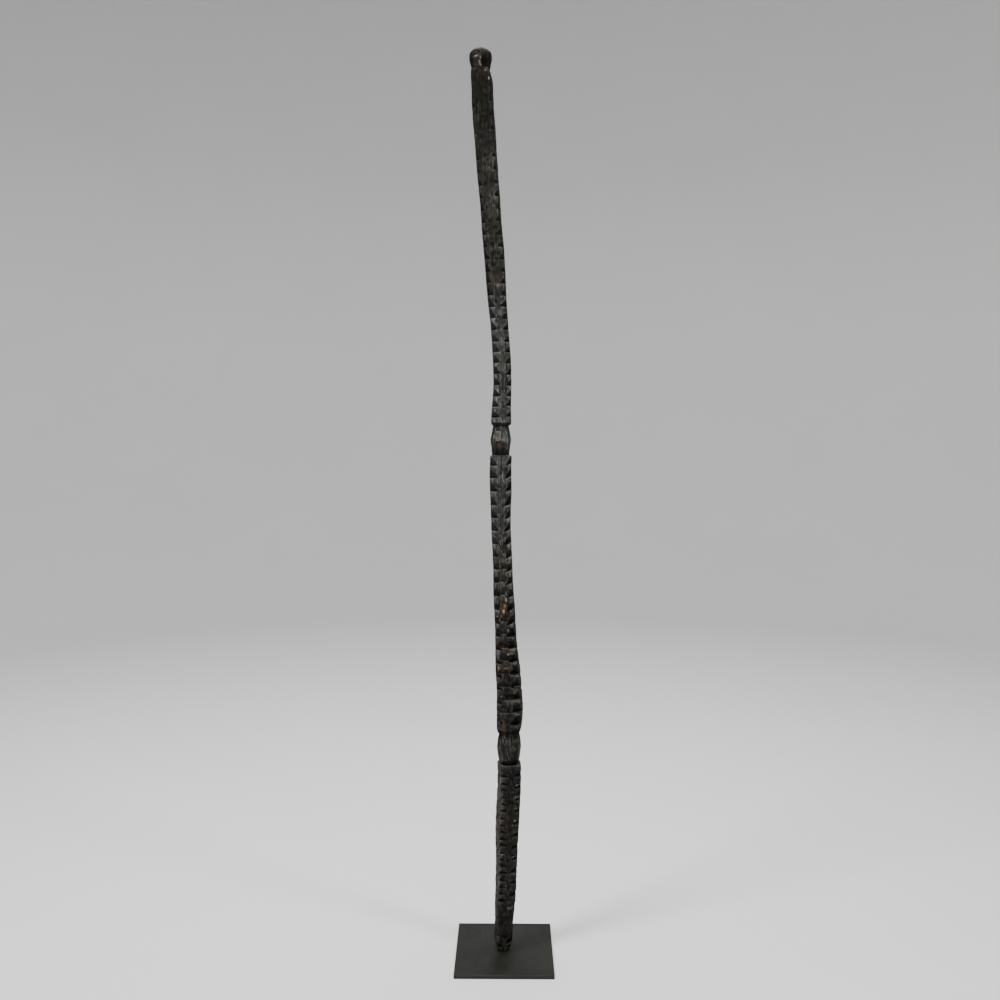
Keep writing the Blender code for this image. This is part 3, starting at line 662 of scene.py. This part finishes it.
class Look:
    """A material's node tree, built by small calls that return sockets."""

    def __init__(self, name):
        self.material = bpy.data.materials.new(name)
        self.material.use_nodes = True
        self.tree = self.material.node_tree
        self.shader = self.tree.nodes["Principled BSDF"]
        self.place = self.node("ShaderNodeTexCoord").outputs["Object"]

    def fill(self, socket, value):
        """Links another node's output to the socket, or sets it to a plain value."""
        if isinstance(value, bpy.types.NodeSocket):
            self.tree.links.new(value, socket)
        elif isinstance(value, tuple) and socket.type == "RGBA":
            socket.default_value = (*value, 1)
        else:
            socket.default_value = value

    def node(self, kind, values=(), **settings):
        made = self.tree.nodes.new(kind)
        for key, value in settings.items():
            setattr(made, key, value)
        for key, value in dict(values).items():
            self.fill(made.inputs[key], value)
        return made

    def set(self, name, value):
        self.fill(self.shader.inputs[name], value)

    def noise(self, scale, stretch=(1, 1, 1), detail=3.0, rough=0.55, distortion=0.0):
        place = self.node("ShaderNodeMapping", {"Vector": self.place, "Scale": stretch}).outputs["Vector"]
        values = {
            "Vector": place, "Scale": scale, "Detail": detail, "Roughness": rough, "Distortion": distortion,
        }
        return self.node("ShaderNodeTexNoise", values).outputs["Fac"]

    def attribute(self, name):
        return self.node("ShaderNodeAttribute", attribute_name=name).outputs["Fac"]

    def height(self):
        return self.node("ShaderNodeSeparateXYZ", {"Vector": self.place}).outputs["Z"]

    def ranged(self, value, low, high, to_low=0.0, to_high=1.0):
        values = {"Value": value, "From Min": low, "From Max": high, "To Min": to_low, "To Max": to_high}
        return self.node("ShaderNodeMapRange", values, interpolation_type="SMOOTHSTEP").outputs["Result"]

    def math(self, operation, first, second):
        return self.node("ShaderNodeMath", {0: first, 1: second}, operation=operation).outputs["Value"]

    def times(self, first, second):
        return self.math("MULTIPLY", first, second)

    def mix(self, share, first, second, blend="MIX"):
        values = {"Factor": share, MIX_FIRST: first, MIX_SECOND: second}
        made = self.node("ShaderNodeMix", values, data_type="RGBA", blend_type=blend)
        return made.outputs[MIX_RESULT]

    def bump(self, height, distance, under=None):
        values = {"Height": height, "Distance": distance}
        if under is not None:
            values["Normal"] = under
        return self.node("ShaderNodeBump", values).outputs["Normal"]


def smoked_skin(look, streaks, mottle, blotches):
    """The wood's dark skin, before any wear: streaked, mottled, and tinted in broad clouds."""
    height = look.height()
    clouds = look.noise(22, (1, 1, 0.7), detail=2)
    fibres = look.noise(900, (1, 1, 0.03), detail=3, rough=0.6)
    colour = look.mix(look.ranged(streaks, 0.32, 0.68), SKIN_DARK, SKIN_PALE)
    colour = look.mix(look.ranged(mottle, 0.42, 0.66, 0.0, 0.75), colour, MOTTLED)
    colour = look.mix(look.ranged(blotches, 0.54, 0.36, 0.0, 0.70), colour, BLOTCHED)
    colour = look.mix(look.ranged(fibres, 0.56, 0.74, 0.0, 0.25), colour, FIBRE)
    olive_clouds = look.ranged(clouds, 0.50, 0.62, 0.0, 0.55)
    olive_top = look.ranged(height, *OLIVE_START, 0.0, 0.35)
    colour = look.mix(look.math("MAXIMUM", olive_clouds, olive_top), colour, OLIVE)
    colour = look.mix(look.ranged(clouds, 0.44, 0.34, 0.0, 0.55), colour, VIOLET_GREY)
    neck_start = look.ranged(height, *NECK_BROWN_START)
    neck_end = look.ranged(height, *NECK_BROWN_END, 0.80, 0.15)
    return look.mix(look.times(neck_start, neck_end), colour, NECK_BROWN)


def worn_skin(look, colour):
    """The skin rubbed pale on its arrises and ledges, wear and dust that are partly painted highlight, then
    lightened or darkened place by place, partly by painted light and shade.
    """
    height = look.height()
    scuffs = look.noise(75, (1, 1, 0.5), detail=5, rough=0.65)
    # Arrises paled: real rubbing, and partly a painted highlight along the edges
    chafed_and_highlight = look.times(look.attribute("worn"), look.ranged(scuffs, 0.40, 0.62, 0.08, 0.78))
    colour = look.mix(chafed_and_highlight, colour, CHAFED_AND_PAINTED_HIGHLIGHT)
    # Ledges paled: dust, and partly a painted highlight where light from above falls
    dust_and_highlight = look.times(look.attribute("ledge"), look.ranged(scuffs, 0.35, 0.65, 0.25, 0.85))
    colour = look.mix(dust_and_highlight, colour, DUST_AND_PAINTED_HIGHLIGHT)
    # Skin tone by height, side and stain, partly painted light and shade
    colour = look.mix(1.0, colour, look.attribute("light"), "MULTIPLY")
    cool = look.times(look.ranged(height, *COOL_START), look.ranged(height, *COOL_END, 1.0, 0.0))
    return look.mix(cool, colour, COOL_TINT, "MULTIPLY")


def wood():
    """Old hardwood, dark with smoke and handling, worn lighter on its edges and through to bare wood, with
    painted shade in its hollows and under its notches and painted highlights on its edges, ledges and
    finial.
    """
    look = Look("smoke_dark_wood")
    hollow, brown = look.attribute("hollow"), look.attribute("brown")
    streaks = look.noise(230, (1, 1, 0.05), detail=5, rough=0.65, distortion=0.3)
    mottle = look.noise(180, (1, 1, 0.8), detail=5, rough=0.65)
    blotches = look.noise(60, (1, 1, 0.8), detail=4, rough=0.6)
    colour = worn_skin(look, smoked_skin(look, streaks, mottle, blotches))
    # Hollows darkened: grime, and partly painted shade in the creases
    colour = look.mix(look.times(hollow, 0.75), colour, HOLLOW_GRIME_AND_PAINTED_SHADE)
    streaked = look.ranged(streaks, 0.35, 0.65)
    colour = look.mix(look.times(brown, 0.92), colour, look.mix(streaked, RUBBED_DARK, RUBBED_PALE))
    # Painted shade on downward faces, blackest on the right-facing ones
    underside = look.mix(look.ranged(mottle, 0.35, 0.65), PAINTED_UNDERSIDE_SHADE_DARK, PAINTED_UNDERSIDE_SHADE_PALE)
    colour = look.mix(look.times(look.attribute("under"), 0.94), colour, underside)
    colour = look.mix(look.times(look.attribute("deep"), 0.80), colour, DEEPEST_PAINTED_SHADE)
    greyed = look.mix(streaked, GREYED_DARK, GREYED_PALE)
    fresh = look.mix(streaked, FRESH_DARK, FRESH_PALE)
    scraped = look.mix(look.ranged(brown, 0.15, 0.70), greyed, fresh)
    # Pale spots: scraped bare wood, and painted highlights on the finial's arris and the notch ledges
    look.set("Base Color", look.mix(look.attribute("pale"), colour, scraped))
    rough = look.ranged(blotches, 0.3, 0.7, 0.40, 0.60)
    rough = look.math("ADD", rough, look.times(hollow, 0.25))
    look.set("Roughness", look.math("ADD", rough, look.times(brown, 0.15)))
    look.set("Specular IOR Level", 0.03)
    relief = look.math("ADD", look.times(streaks, 0.55), look.times(mottle, 0.45))
    fine = look.noise(420)
    look.set("Normal", look.bump(fine, 0.0003, under=look.bump(relief, 0.0011)))
    return look.material


def steel():
    """Mild steel plate with a worn satin charcoal coat."""
    look = Look("satin_charcoal_steel")
    clouds = look.noise(14, detail=4)
    grit = look.noise(900, detail=2)
    scratches = look.noise(130, (1, 0.04, 1), detail=4, rough=0.7)
    colour = look.mix(look.ranged(clouds, 0.35, 0.65), STEEL_DARK, STEEL_PALE)
    colour = look.mix(look.ranged(scratches, 0.60, 0.75, 0.0, 0.35), colour, SCRATCH)
    look.set("Base Color", colour)
    look.set("Metallic", 0.2)
    look.set("Specular IOR Level", 0.35)
    look.set("Roughness", look.ranged(clouds, 0.3, 0.7, 0.42, 0.56))
    look.set("Normal", look.bump(clouds, 0.0012, under=look.bump(grit, 0.00012)))
    return look.material


def paper():
    """Pale matt studio paper."""
    look = Look("pale_studio_paper")
    look.set("Base Color", look.mix(look.noise(1.5, detail=2), PAPER_DARK, PAPER_PALE))
    look.set("Roughness", 0.9)
    return look.material


# ---------------------------------------------------------------- studio

def area_light(name, spot, aim, size, power, colour):
    data = bpy.data.lights.new(name, "AREA")
    data.shape = "DISK"
    data.size = size
    data.energy = power
    data.color = colour
    light = bpy.data.objects.new(name, data)
    light.location = spot
    light.rotation_euler = (Vector(aim) - Vector(spot)).to_track_quat("-Z", "Y").to_euler()
    light.visible_camera = False
    bpy.context.scene.collection.objects.link(light)


def floor_profile():
    """(distance from the middle, height) out along the floor, up its sweep and up the wall."""
    profile = [(HUB_RADIUS, 0.0), (FLOOR_RADIUS * 0.5, 0.0), (FLOOR_RADIUS, 0.0)]
    for angle in np.linspace(0, math.pi / 2, SWEEP_STEPS + 1)[1:]:
        out = FLOOR_RADIUS + SWEEP_RADIUS * math.sin(angle)
        profile.append((out, SWEEP_RADIUS - SWEEP_RADIUS * math.cos(angle)))
    profile.append((FLOOR_RADIUS + SWEEP_RADIUS, WALL_TOP))
    return profile


def studio_floor():
    """A round pale floor whose rim sweeps up into a wall all the way round."""
    profile = floor_profile()
    points, faces = [], []
    for radius, height in profile:
        for k in range(SIDES_AROUND):
            angle = math.tau * k / SIDES_AROUND
            points.append((radius * math.cos(angle), radius * math.sin(angle), height))
    for ring in range(len(profile) - 1):
        for k in range(SIDES_AROUND):
            a = ring * SIDES_AROUND + k
            b = ring * SIDES_AROUND + (k + 1) % SIDES_AROUND
            faces.append((a, b, b + SIDES_AROUND, a + SIDES_AROUND))
    faces.append(tuple(reversed(range(SIDES_AROUND))))
    mesh = bpy.data.meshes.new("studio_floor")
    mesh.from_pydata(points, [], faces)
    mesh.polygons.foreach_set("use_smooth", [True] * len(faces))
    mesh.materials.append(paper())
    floor = bpy.data.objects.new("studio_floor", mesh)
    bpy.context.scene.collection.objects.link(floor)


def studio_air():
    world = bpy.data.worlds.new("studio_air")
    world.use_nodes = True
    background = world.node_tree.nodes["Background"]
    background.inputs["Color"].default_value = (1, 1, 1, 1)
    background.inputs["Strength"].default_value = AIR_STRENGTH
    bpy.context.scene.world = world


def studio():
    """The floor, the lights and the pale air round the post."""
    studio_floor()
    for light in LIGHTS:
        area_light(*light)
    studio_air()


def camera():
    data = bpy.data.cameras.new("camera")
    data.sensor_width = CAMERA_FILM
    data.lens = CAMERA_LENS
    made = bpy.data.objects.new("camera", data)
    made.location = CAMERA_SPOT
    made.rotation_euler = (math.radians(90 - CAMERA_DOWN), 0, math.radians(CAMERA_LEFT))
    bpy.context.scene.collection.objects.link(made)
    bpy.context.scene.camera = made


camera()
studio()
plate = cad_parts["base_plate"]
plate.data.materials[0] = steel()
carved_pole(wood())
